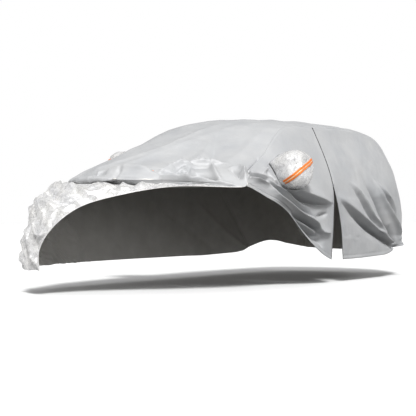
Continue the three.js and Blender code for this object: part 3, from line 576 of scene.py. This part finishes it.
def make_object(name, vertices, faces, materials, smooth=True):
    mesh = bpy.data.meshes.new(name)
    mesh.from_pydata([tuple(p) for p in vertices], [], [tuple(f) for f in faces])
    mesh.validate()
    for material in materials:
        mesh.materials.append(material)
    mesh.polygons.foreach_set("use_smooth", [smooth] * len(mesh.polygons))
    obj = bpy.data.objects.new(name, mesh)
    bpy.context.collection.objects.link(obj)
    return obj


def to_row(points):
    return (points - MOUNT) / 1000


def finish_piece(obj, nodes):
    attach(obj, "root")
    if nodes:
        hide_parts(*nodes)
    return obj


def thicken(obj, thickness, lined):
    """Gives a sheet its thickness, with the second material on its inner side and rim if it is lined."""
    solid = obj.modifiers.new("thickness", "SOLIDIFY")
    solid.thickness = thickness
    solid.offset = -1
    if lined:
        solid.use_quality_normals = True
        solid.material_offset = solid.material_offset_rim = 1


def grid_faces(rows, columns, window=None):
    """Quads of a grid, facing out, without those of a window (first and last row and column)."""
    faces = []
    for i in range(rows - 1):
        for j in range(columns - 1):
            if not (window and window[0] <= i < window[1] and window[2] <= j < window[3]):
                a = i * columns + j
                faces.append((a, a + 1, a + columns + 1, a + columns))
    return faces


def used_only(vertices, faces):
    """Drops the vertices that no face uses."""
    used = sorted({n for face in faces for n in face})
    number = {n: k for k, n in enumerate(used)}
    return vertices[used], [tuple(number[n] for n in face) for face in faces]


# Mesh cells from each hoop and each rail to the next
HOOP_CELLS = [24, 28, 28, 34, 34, 30, 8, 14, 30, 40, 48, 40, 10, 40, 32, 22, 18, 18, 14, 16]
RAIL_CELLS = [26, 28, 42, 56, 64, 60, 48, 40]

SEAM_LINES = (0.008, 0.02, 0.034)  # extra mesh lines beside a seam's rail
SEAM_DEPTH, SEAM_REACH = 4.0, 8.0
HEM_WIDTH, HEM_STEP, HEM_HEIGHT = 30, 6, 2.0
STITCH_DEPTH, STITCH_WIDTH = 3.0, 8


def mesh_lines(cells, bounds):
    """Mesh lines between two rows, with cells[k] even steps from row k to the next."""
    low, high = bounds
    lines = [k + n / cells[k] for k in range(low, high) for n in range(cells[k])] + [float(high)]
    if cells is RAIL_CELLS:
        gaps = [side * gap for gap in SEAM_LINES for side in (-1, 1)]
        beside = [seam + gap for seam in (RIGHT_SEAM, LEFT_SEAM) for gap in gaps]
        lines += [line for line in beside if low < line < high]
    return np.array(sorted(lines))


def line_at(lines, at):
    return int(np.argmin(np.abs(lines - at)))


def edge_fade(s, t, edges, reach=45):
    """0 on the named edges of a grid and 1 away from them."""
    fade = np.ones_like(s)
    for edge, distance in (
        ("first_hoop", s - s.min()), ("last_hoop", s.max() - s),
        ("first_rail", t - t.min()), ("last_rail", t.max() - t),
    ):
        if edge in edges:
            fade *= smoothstep(distance, 0, reach)
    return fade


def hem_relief(points):
    """A turned hem along the last rail: a raised band and the sunk line of its stitches."""
    steps = np.linalg.norm(np.diff(points[:, ::-1], axis=1), axis=-1)
    distance = np.concatenate([np.zeros((len(points), 1)), np.cumsum(steps, axis=1)], axis=1)[:, ::-1]
    band = HEM_HEIGHT * (1 - smoothstep(distance, HEM_WIDTH - HEM_STEP, HEM_WIDTH))
    return band - STITCH_DEPTH * np.exp(-(((distance - HEM_WIDTH) / STITCH_WIDTH) ** 2))


def seam_groove(t, rails):
    """The cloth drawn in along the roof-side seams."""
    depth = np.zeros_like(t)
    for rail, distance in ((rails[0], t - t.min()), (rails[1], t.max() - t)):
        if rail in (RIGHT_SEAM, LEFT_SEAM):
            depth += SEAM_DEPTH * np.exp(-((distance / SEAM_REACH) ** 2))
    return depth


BALL_MIDDLE, BALL_REACH, BALL_SEED = np.array([390.0, -1235, 1028]), 105, 91


def balled_cloth(points):
    """A patch of tightly crumpled cloth in the bunch above the lip."""
    share = np.exp(-((np.linalg.norm(points - BALL_MIDDLE, axis=-1) / BALL_REACH) ** 2))
    s, t = points[..., 0] + 0.4 * points[..., 2], points[..., 2] - 0.5 * points[..., 1]
    return share * wrinkled(s, t, BALL_SEED, BALL_CRUMPLES)


def cloth_panel(name, node, slot, hoops, rails, layers, seed, joined, strength=1, local=None):
    """One panel between two hoops and two rails. Its layers of wrinkles die away at the joined edges, and
    its local ones don't."""
    u = mesh_lines(HOOP_CELLS, hoops)
    v = mesh_lines(RAIL_CELLS, rails)
    points, normals = folded(u, v)
    s, t = lengths(points)
    height = wrinkled(s, t, seed, layers) * strength * edge_fade(s, t, joined)
    if rails[1] == LAST_RAIL:
        height += hem_relief(points)
    height -= seam_groove(t, rails)
    if local:
        height += local(points)
    points = points + height[..., None] * normals
    window = None
    for pocket in POCKETS.values():
        if pocket["panel"] == node:
            window = [line_at(u, hoop) for hoop in pocket["hoops"]]
            window += [line_at(v, rail) for rail in pocket["rails"]]
    vertices, faces = used_only(to_row(points).reshape(-1, 3), grid_faces(len(u), len(v), window))
    obj = make_object(name, vertices, faces, [CLOTHS[slot], INNER])
    thicken(obj, CLOTH, lined=True)
    return finish_piece(obj, [node])


def pocket_point(pocket, direction):
    """The pocket's rounded box in some directions out of its middle, in millimetres."""
    share = np.abs(direction / np.array(pocket["half"], float)) ** SQUARENESS
    size = share.sum(-1, keepdims=True) ** (-1 / SQUARENESS)
    return np.array(pocket["middle"], float) + direction * size


POCKET_SINK = 2  # how far its crumpled foil lies inside the rounded box on average


def pocket_relief(pocket, points):
    """Crumples of a pocket's foil at points of its rounded box."""
    s, t = points[..., 1] + 0.7 * points[..., 0], points[..., 2] - 0.5 * points[..., 0]
    return wrinkled(s, t, pocket["seed"], POCKET_CRUMPLES) - POCKET_SINK


MOUTH_RISE = 1.5  # how far a pocket's mouth stands in from its window's edge and over the cloth


def lines_between(cells, first, last):
    """The mesh lines from one line to another, both included."""
    lines = mesh_lines(cells, (int(first), math.ceil(last)))
    return lines[(lines > first - 1e-6) & (lines < last + 1e-6)]


def rim(grid):
    """The outer points of a grid, in order round it."""
    return np.concatenate([grid[:-1, 0], grid[-1, :-1], grid[:0:-1, -1], grid[0, :0:-1]])


def mouth_line(pocket):
    """The window's edge, drawn in and raised a little, in order round the mouth."""
    u = lines_between(HOOP_CELLS, *pocket["hoops"])
    v = lines_between(RAIL_CELLS, *pocket["rails"])
    points, normals = (rim(grid) for grid in folded(u, v))
    inward = square_to(points.mean(0) - points, normals)
    return points + MOUTH_RISE * (inward + normals)


POCKET_RINGS = 46
FIRST_LATITUDE = math.radians(-24)  # of the mouth, seen from the pocket's middle
HELD = 0.32  # share of the rings that are drawn towards the mouth
SMOOTH = 0.2  # share of them over which the crumples begin


def mirror_pocket(side):
    """A sewn pocket: rings from the mouth, over the rounded box, to its tip."""
    pocket = POCKETS[side]
    middle = np.array(pocket["middle"], float)
    mouth = mouth_line(pocket)
    around = len(mouth)
    _, aim_y, aim_z = (mouth - middle).T
    angle = np.arctan2(aim_z, aim_y)
    outward_x = math.copysign(1, middle[0])
    rings = [mouth]
    for share in np.arange(1, POCKET_RINGS) / POCKET_RINGS:
        latitude = FIRST_LATITUDE + (math.pi / 2 - FIRST_LATITUDE) * share
        direction = np.stack([
            np.full(around, outward_x * math.sin(latitude)),
            math.cos(latitude) * np.cos(angle),
            math.cos(latitude) * np.sin(angle),
        ], axis=-1)
        place = pocket_point(pocket, direction)
        rings.append(place + (mouth - place) * max(0, 1 - share / HELD) ** 2)
    flat = np.array(rings).reshape(-1, 3)
    depth = smoothstep(np.repeat(np.arange(POCKET_RINGS) / POCKET_RINGS, around), 0, SMOOTH)
    flat = flat + (pocket_relief(pocket, flat) * depth)[:, None] * unit(flat - middle)
    tip = len(flat)
    vertices = np.concatenate([flat, flat[-around:].mean(0, keepdims=True)])
    faces = []
    for first in range(0, tip, around):
        for k in range(around):
            a, b = first + k, first + (k + 1) % around
            faces.append((a, a + around, b + around, b) if first + around < tip else (a, tip, b))
    obj = make_object(f"pocket_{side}", to_row(vertices), faces, [CLOTHS["foil_cloth"], INNER])
    thicken(obj, CLOTH, lined=True)
    return finish_piece(obj, [f"mirror_pocket_{side}"])


def tape_points(pocket, side_shift, lift, count=60):
    """Points along a pocket's tape, shifted across it and lifted off, in millimetres."""
    knots = unit(np.array(pocket["tape"], float))
    at = np.linspace(0, len(knots) - 1, count)
    i = np.minimum(at.astype(int), len(knots) - 2)
    t = (at - i)[:, None]
    a, b, c, d = (extended(knots)[i + k] for k in range(4))
    line = 0.5 * (2 * b + (c - a) * t + (2 * a - 5 * b + 4 * c - d) * t**2 + (3 * b - a - 3 * c + d) * t**3)
    direction = unit(line)
    along = unit(np.gradient(direction, axis=0))
    across = unit(np.cross(direction, along))
    centre = pocket_point(pocket, direction)
    aim = unit(centre + side_shift * across - np.array(pocket["middle"], float))
    return pocket_point(pocket, aim) + lift * aim


# Half of a tape's section, from its middle: distance to the side and height, in millimetres
TAPE_SECTION = ((0, 2.1), (2.7, 2.0), (3.7, 1.1), (4.7, 1.4), (12, 1.5), (19.5, 1.3), (21, 0.6))
TAPE_LIFT, TAPE_CLEARANCE = 1.5, 2.5
SILVER_LINE = TAPE_SECTION[1][0]  # half its width


def reflective_strip(side, materials):
    """An orange tape sewn on a pocket, with a raised silver line along its middle."""
    pocket = POCKETS[side]
    section = [(-aside, height) for aside, height in TAPE_SECTION[:0:-1]] + list(TAPE_SECTION)
    lines = [tape_points(pocket, aside, height + TAPE_LIFT) for aside, height in section]
    points = np.array(lines).transpose(1, 0, 2)
    out = unit(points - np.array(pocket["middle"], float))
    points = points + (pocket_relief(pocket, points) + TAPE_CLEARANCE)[..., None] * out
    faces = grid_faces(*points.shape[:2])
    obj = make_object(f"strip_{side}", to_row(points).reshape(-1, 3), faces, materials)
    silver = [max(abs(a[0]), abs(b[0])) <= SILVER_LINE for a, b in zip(section, section[1:])]
    for k, face in enumerate(obj.data.polygons):
        face.material_index = int(silver[k % len(silver)])
    thicken(obj, TAPE, lined=False)
    return finish_piece(obj, [f"reflective_strip_{side}"])


def axes_along(path, out):
    """Unit axes across, along and out of a path, from rough directions out of it."""
    along = unit(np.gradient(path, axis=0))
    out = square_to(out, along)
    return unit(np.cross(along, out)), along, out


def swept(name, path, out, profile, material):
    """A band with a closed profile [(across, up), ...] in millimetres, along a path."""
    across, _, out = axes_along(path, out)
    points = np.array([path + a * across + b * out for a, b in profile]).transpose(1, 0, 2)
    count, size = points.shape[:2]
    faces = []
    for i in range(count - 1):
        for j in range(size):
            k = (j + 1) % size
            faces.append((i * size + j, i * size + k, (i + 1) * size + k, (i + 1) * size + j))
    faces.append(tuple(reversed(range(size))))
    faces.append(tuple((count - 1) * size + j for j in range(size)))
    return make_object(name, to_row(points).reshape(-1, 3), faces, [material], smooth=False)


def resample(path, step):
    """Points about every step millimetres along a polyline."""
    run = np.concatenate([[0], np.cumsum(np.linalg.norm(np.diff(path, axis=0), axis=1))])
    at = np.linspace(0, run[-1], max(2, int(run[-1] / step)))
    return np.stack([np.interp(at, run, path[:, k]) for k in range(3)], axis=1)


TOOTH_PITCH = 6.0
TOOTH_HALF = (2.6, 0.3 * TOOTH_PITCH, 1.1)  # half its size across, along and up
TOOTH_TOP = (0.7, 0.6)  # shares of its foot across and along
TOOTH_RISE = 1.2
BOX_FACES = ((0, 3, 2, 1), (4, 5, 6, 7), (0, 1, 5, 4), (1, 2, 6, 5), (2, 3, 7, 6), (3, 0, 4, 7))


def zip_teeth(name, path, out, material):
    """A row of coil teeth along a path: small blocks standing on the tape."""
    path = resample(path, TOOTH_PITCH)
    out = np.array([out[min(len(out) - 1, int(k * len(out) / len(path)))] for k in range(len(path))])
    vertices, faces = [], []
    for place, a, b, c in zip(path, *axes_along(path, out)):
        faces += [tuple(len(vertices) + k for k in face) for face in BOX_FACES]
        for z, (wide, long) in ((-1, (1, 1)), (1, TOOTH_TOP)):
            for y, x in ((-1, -1), (-1, 1), (1, 1), (1, -1)):
                vertices.append(
                    place + x * TOOTH_HALF[0] * wide * a + y * TOOTH_HALF[1] * long * b
                    + (z * TOOTH_HALF[2] + TOOTH_RISE) * c
                )
    return make_object(name, to_row(np.array(vertices)), faces, [material], smooth=False)


def zip_part(names, node, path, out, band, material):
    """A zip's tape and the coil that stands on it. band is half the tape's width, its foot and its top."""
    half, low, high = band
    profile = [(-half, low), (half, low), (half, high), (-half, high)]
    finish_piece(swept(names[0], path, out, profile, material), [node])
    finish_piece(zip_teeth(names[1], path, out, material), [])


# ---- materials --------------------------------------------------------------------------------


def new_material(name, color, roughness, metallic=0.0, **sockets):
    material = bpy.data.materials.new(name)
    material.use_nodes = True
    shader = material.node_tree.nodes["Principled BSDF"]
    shader.inputs["Base Color"].default_value = (*color, 1)
    shader.inputs["Roughness"].default_value = roughness
    shader.inputs["Metallic"].default_value = metallic
    for socket, value in sockets.items():
        shader.inputs[socket.replace("_", " ")].default_value = value
    return material, material.node_tree, shader


def node(tree, kind, **settings):
    made = tree.nodes.new(kind)
    for key, value in settings.items():
        if key in made.inputs:
            made.inputs[key].default_value = value
        else:
            setattr(made, key, value)
    return made


def object_place(tree):
    return node(tree, "ShaderNodeTexCoord").outputs["Object"]


def ramp(tree, value, stops):
    """A colour ramp from (position, colour) stops."""
    made = node(tree, "ShaderNodeValToRGB")
    elements = made.color_ramp.elements
    while len(elements) < len(stops):
        elements.new(0.5)
    for element, (position, color) in zip(elements, stops):
        element.position = position
        element.color = (*color, 1)
    tree.links.new(value, made.inputs["Fac"])
    return made.outputs["Color"]


def greys(*stops):
    """Colour stops from (position, brightness) ones."""
    return [(position, (level,) * 3) for position, level in stops]


def bump_chain(tree, shader, layers):
    """Bump from several height sockets: (socket, strength, distance in metres)."""
    before = None
    for socket, strength, distance in layers:
        made = node(tree, "ShaderNodeBump", Strength=strength, Distance=distance)
        tree.links.new(socket, made.inputs["Height"])
        if before is not None:
            tree.links.new(before, made.inputs["Normal"])
        before = made.outputs["Normal"]
    if before is not None:
        tree.links.new(before, shader.inputs["Normal"])


def noise(tree, place, scale, detail=3.0, roughness=0.5, distortion=0.0):
    made = node(tree, "ShaderNodeTexNoise", Scale=scale, Detail=detail, Roughness=roughness,
                Distortion=distortion)
    tree.links.new(place, made.inputs["Vector"])
    return made.outputs["Fac"]


def voronoi(tree, place, scale, feature="DISTANCE_TO_EDGE"):
    made = node(tree, "ShaderNodeTexVoronoi", feature=feature, Scale=scale)
    tree.links.new(place, made.inputs["Vector"])
    return made.outputs["Distance"]


def mottled(name, color, roughness, metallic, clouds, bumps, **sockets):
    """A material whose clouds are {socket: (noise settings, ramp stops)} and whose bumps are (texture, its
    settings, strength, distance in metres), from the finest up."""
    material, tree, shader = new_material(name, color, roughness, metallic, **sockets)
    place = object_place(tree)
    for socket, (settings, stops) in clouds.items():
        tree.links.new(ramp(tree, noise(tree, place, *settings), stops), shader.inputs[socket])
    bump_chain(tree, shader, [
        (texture(tree, place, *settings), strength, distance)
        for texture, settings, strength, distance in bumps
    ])
    return material


def silver_cloth():
    """Coated silver-grey cloth: fine weave, faint crinkles and cloudy tone."""
    return mottled(
        "silver_cloth", (0.42, 0.43, 0.44), 0.55, 0.1,
        {"Base Color": ((3.5, 5, 0.6), [(0.3, (0.40, 0.408, 0.42)), (0.7, (0.47, 0.473, 0.476))]),
         "Roughness": ((11, 4), greys((0.3, 0.48), (0.75, 0.62)))},
        [(noise, (420, 2), 0.25, 0.0006), (noise, (55, 4, 0.55, 0.6), 0.35, 0.0022),
         (voronoi, (26,), 0.22, 0.0016), (noise, (17, 4, 0.6, 0.9), 0.28, 0.006)],
        Sheen_Weight=0.06, Specular_IOR_Level=0.25)


def foil_cloth():
    """Crinkled bright foil face, with painted shade along its crease lines."""
    material, tree, shader = new_material("foil_cloth", (0.80, 0.80, 0.80), 0.3, 0.3,
                                          Specular_IOR_Level=0.6)
    place = object_place(tree)
    tone = ramp(tree, noise(tree, place, 9, 4), [(0.3, (0.70, 0.70, 0.71)), (0.7, (0.82, 0.81, 0.79))])
    bent = node(tree, "ShaderNodeVectorMath", operation="ADD")
    wander = node(tree, "ShaderNodeTexNoise", Scale=5.0, Detail=1.5)
    tree.links.new(place, wander.inputs["Vector"])
    tree.links.new(place, bent.inputs[0])
    tree.links.new(wander.outputs["Color"], bent.inputs[1])
    # painted shade: the base colour falls to 0.55 along voronoi edge lines, standing in for the shade in the
    # foil's creases; it is multiplied into the foil's tone
    crease = ramp(tree, voronoi(tree, bent.outputs["Vector"], 6.5), greys((0.0, 0.55), (0.05, 1.0)))
    crease_shade_mix = node(tree, "ShaderNodeMix", data_type="RGBA", blend_type="MULTIPLY")
    factor, first, second, mixed = crease_shade_mix.inputs[0], crease_shade_mix.inputs[6], crease_shade_mix.inputs[7], crease_shade_mix.outputs[2]
    factor.default_value = 0.7
    tree.links.new(tone, first)
    tree.links.new(crease, second)
    tree.links.new(mixed, shader.inputs["Base Color"])
    gloss = ramp(tree, noise(tree, place, 30, 3), greys((0.3, 0.2), (0.75, 0.38)))
    tree.links.new(gloss, shader.inputs["Roughness"])
    bump_chain(tree, shader, [
        (noise(tree, place, 380, 2), 0.12, 0.0005),
        (voronoi(tree, bent.outputs["Vector"], 13), 0.16, 0.006),
        (noise(tree, place, 12, 1.5, 0.45, 1.5), 0.3, 0.01),
    ])
    return material


def inner_cloth():
    """Off-white matte lining, softly fuzzy."""
    return mottled(
        "inner_cloth", (0.80, 0.78, 0.73), 0.85, 0.0,
        {"Base Color": ((6, 5), [(0.3, (0.74, 0.72, 0.68)), (0.7, (0.84, 0.82, 0.78))])},
        [(noise, (500, 2), 0.3, 0.0008), (voronoi, (120, "F1"), 0.25, 0.0010)],
        Sheen_Weight=0.3, Specular_IOR_Level=0.2)


def tape_material(name, color, metallic, roughness):
    """Reflective tape: a fine honeycomb under a smooth face."""
    dark, light = (tuple(min(1, share * c) for c in color) for share in (0.85, 1.12))
    return mottled(
        name, color, roughness, metallic, {"Base Color": ((60, 3), [(0.3, dark), (0.7, light)])},
        [(voronoi, (260,), 0.3, 0.0004)], Coat_Weight=0.3, Coat_Roughness=0.15)


def zip_material():
    return mottled(
        "zip_black", (0.016, 0.016, 0.018), 0.55, 0.0,
        {"Base Color": ((90, 3), greys((0.3, 0.010), (0.8, 0.028)))}, [(noise, (700, 2), 0.4, 0.0004)])


def slider_material():
    return mottled(
        "slider_metal", (0.38, 0.385, 0.40), 0.38, 0.9,
        {"Roughness": ((120, 3), greys((0.3, 0.28), (0.75, 0.5)))}, [(noise, (600, 2), 0.15, 0.0002)])


# ---- the cover --------------------------------------------------------------------------------

CLOTHS = {"silver_cloth": silver_cloth(), "foil_cloth": foil_cloth()}  # by their slots
INNER = inner_cloth()
ORANGE = tape_material("tape_orange", (0.93, 0.21, 0.012), 0.0, 0.4)
TAPE_LINE = tape_material("tape_silver", (0.80, 0.66, 0.45), 0.4, 0.35)
BLACK, STEEL = zip_material(), slider_material()

top = cloth_panel(
    "top_cloth", "top_panel", "silver_cloth", (TUCK, LAST_HOOP), (RIGHT_SEAM, LEFT_SEAM), SLACK,
    seed=10, joined=("first_hoop", "first_rail", "last_rail"), local=balled_cloth)
front = cloth_panel(
    "front_cloth", "front_panel", "foil_cloth", (0, TUCK), (0, LEFT_SEAM), FRONT_CRUMPLES,
    seed=20, joined=("last_hoop", "last_rail"))
right = cloth_panel(
    "right_cloth", "right_panel", "silver_cloth", (TUCK, LAST_HOOP), (0, RIGHT_SEAM), SLACK,
    seed=30, joined=("first_hoop", "last_rail"))
flap = cloth_panel(
    "flap_cloth", "left_front_panel", "silver_cloth", (LIP, ZIP_FRONT), (LEFT_SEAM, LAST_RAIL), SLACK,
    seed=50, joined=("first_rail", "last_hoop", "first_hoop"), strength=0.6)
rear = cloth_panel(
    "rear_cloth", "left_rear_panel", "silver_cloth", (ZIP_REAR, LAST_HOOP), (LEFT_SEAM, LAST_RAIL), SLACK,
    seed=70, joined=("first_rail", "first_hoop"), strength=0.8)
pockets = {side: mirror_pocket(side) for side in POCKETS}
strips = {side: reflective_strip(side, [ORANGE, TAPE_LINE]) for side in POCKETS}

ZIP_STEPS = 60
CHAIN_BAND, HALF_BAND = (6, -1.6, 0.2), (3.2, -2, 0)
SLIT_TOP = 0.05  # where the open halves begin, in rails below the belt
HALF_SETBACK = 3.0  # of an open half's middle from the edge of its cloth, in millimetres

# The closed zip, down the middle of the gap
v_line = np.linspace(LEFT_SEAM, LEFT_BELT, ZIP_STEPS)
pair, pair_out = folded(np.array([ZIP_FRONT, ZIP_REAR], float), v_line)
zip_part(("zip_tape", "zip_coil"), "zip_chain", pair.mean(0), unit(pair_out.mean(0)), CHAIN_BAND, BLACK)

# Its open halves, along the two edges of the slit
v_line = np.linspace(LEFT_BELT + SLIT_TOP, LAST_RAIL, ZIP_STEPS)
for end, hoop, towards in (("front", ZIP_FRONT, 1), ("rear", ZIP_REAR, -1)):
    (edge,), (edge_out,) = folded(np.array([hoop], float), v_line)
    edge = edge + [0, HALF_SETBACK * towards, 0]
    names = f"zip_half_tape_{end}", f"zip_half_coil_{end}"
    zip_part(names, f"zip_half_{end}", edge, edge_out, HALF_BAND, BLACK)

for name, material in (("zip_slider", STEEL), ("reflective_strip_front", ORANGE)):
    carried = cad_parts[name]
    carried.data.materials.clear()
    carried.data.materials.append(material)

# ---- floor, light and camera ------------------------------------------------------------------

PALE = mottled("floor_pale", (0.9, 0.9, 0.9), 0.8, 0.0,
               {"Base Color": ((0.7, 3), greys((0.3, 0.885), (0.7, 0.91)))}, [])
FLOOR_HALF = 60.0
corners = np.array([(x * FLOOR_HALF, y * FLOOR_HALF, 0) for x, y in ((-1, -1), (1, -1), (1, 1), (-1, 1))])
floor = make_object("floor", corners, [(0, 1, 2, 3)], [PALE])
floor.location.z = FLOOR_Z
floor.visible_diffuse = False  # the floor throws no light back up into the folds

# A studio with a white horizon, dimmer above and below it
world = bpy.data.worlds.new("studio")
world.use_nodes = True
sky = world.node_tree
parts = node(sky, "ShaderNodeSeparateXYZ")
sky.links.new(node(sky, "ShaderNodeTexCoord").outputs["Generated"], parts.inputs["Vector"])
rise = node(sky, "ShaderNodeMapRange")
rise.inputs["From Min"].default_value = -1
sky.links.new(parts.outputs["Z"], rise.inputs["Value"])
SKY = [(0.0, 0.04), (0.488, 0.04), (0.493, 1.0), (0.6, 1.0), (0.63, 0.2), (1.0, 0.3)]  # (height, brightness)
sky.links.new(ramp(sky, rise.outputs["Result"], greys(*SKY)), sky.nodes["Background"].inputs["Color"])
bpy.context.scene.world = world


def sun(name, bearing, height, strength, softness):
    """A broad soft light. Its bearing is measured from the nose towards the left side, in degrees."""
    light = bpy.data.lights.new(name, "SUN")
    light.energy = strength
    light.angle = math.radians(softness)
    obj = bpy.data.objects.new(name, light)
    obj.rotation_euler = (math.radians(90 - height), 0, math.radians(bearing))
    bpy.context.collection.objects.link(obj)


sun("key", 40, 46, 3.65, 12)
sun("top", 0, 75, 0.5, 40)
sun("side", 95, 30, 0.6, 20)

CAMERA_PLACE = (5.967, -9.167, -0.943)
YAW, PITCH, ROLL = (math.radians(x) for x in (36.58, -0.43, -0.47))
SENSOR, LENS = 36, 94.68  # in millimetres
back = Vector((math.sin(YAW) * math.cos(PITCH), -math.cos(YAW) * math.cos(PITCH), math.sin(PITCH)))
level = (-back).cross(Vector((0, 0, 1))).normalized()
upright = level.cross(-back)
across = math.cos(ROLL) * level + math.sin(ROLL) * upright
up = -math.sin(ROLL) * level + math.cos(ROLL) * upright
camera_data = bpy.data.cameras.new("camera")
camera_data.sensor_width = SENSOR
camera_data.lens = LENS
camera_data.clip_end = 300
camera = bpy.data.objects.new("camera", camera_data)
camera.matrix_world = Matrix.Translation(CAMERA_PLACE) @ Matrix((across, up, back)).transposed().to_4x4()
bpy.context.collection.objects.link(camera)
bpy.context.scene.camera = camera
bpy.context.scene.view_settings.view_transform = "Standard"

bpy.context.view_layer.update()
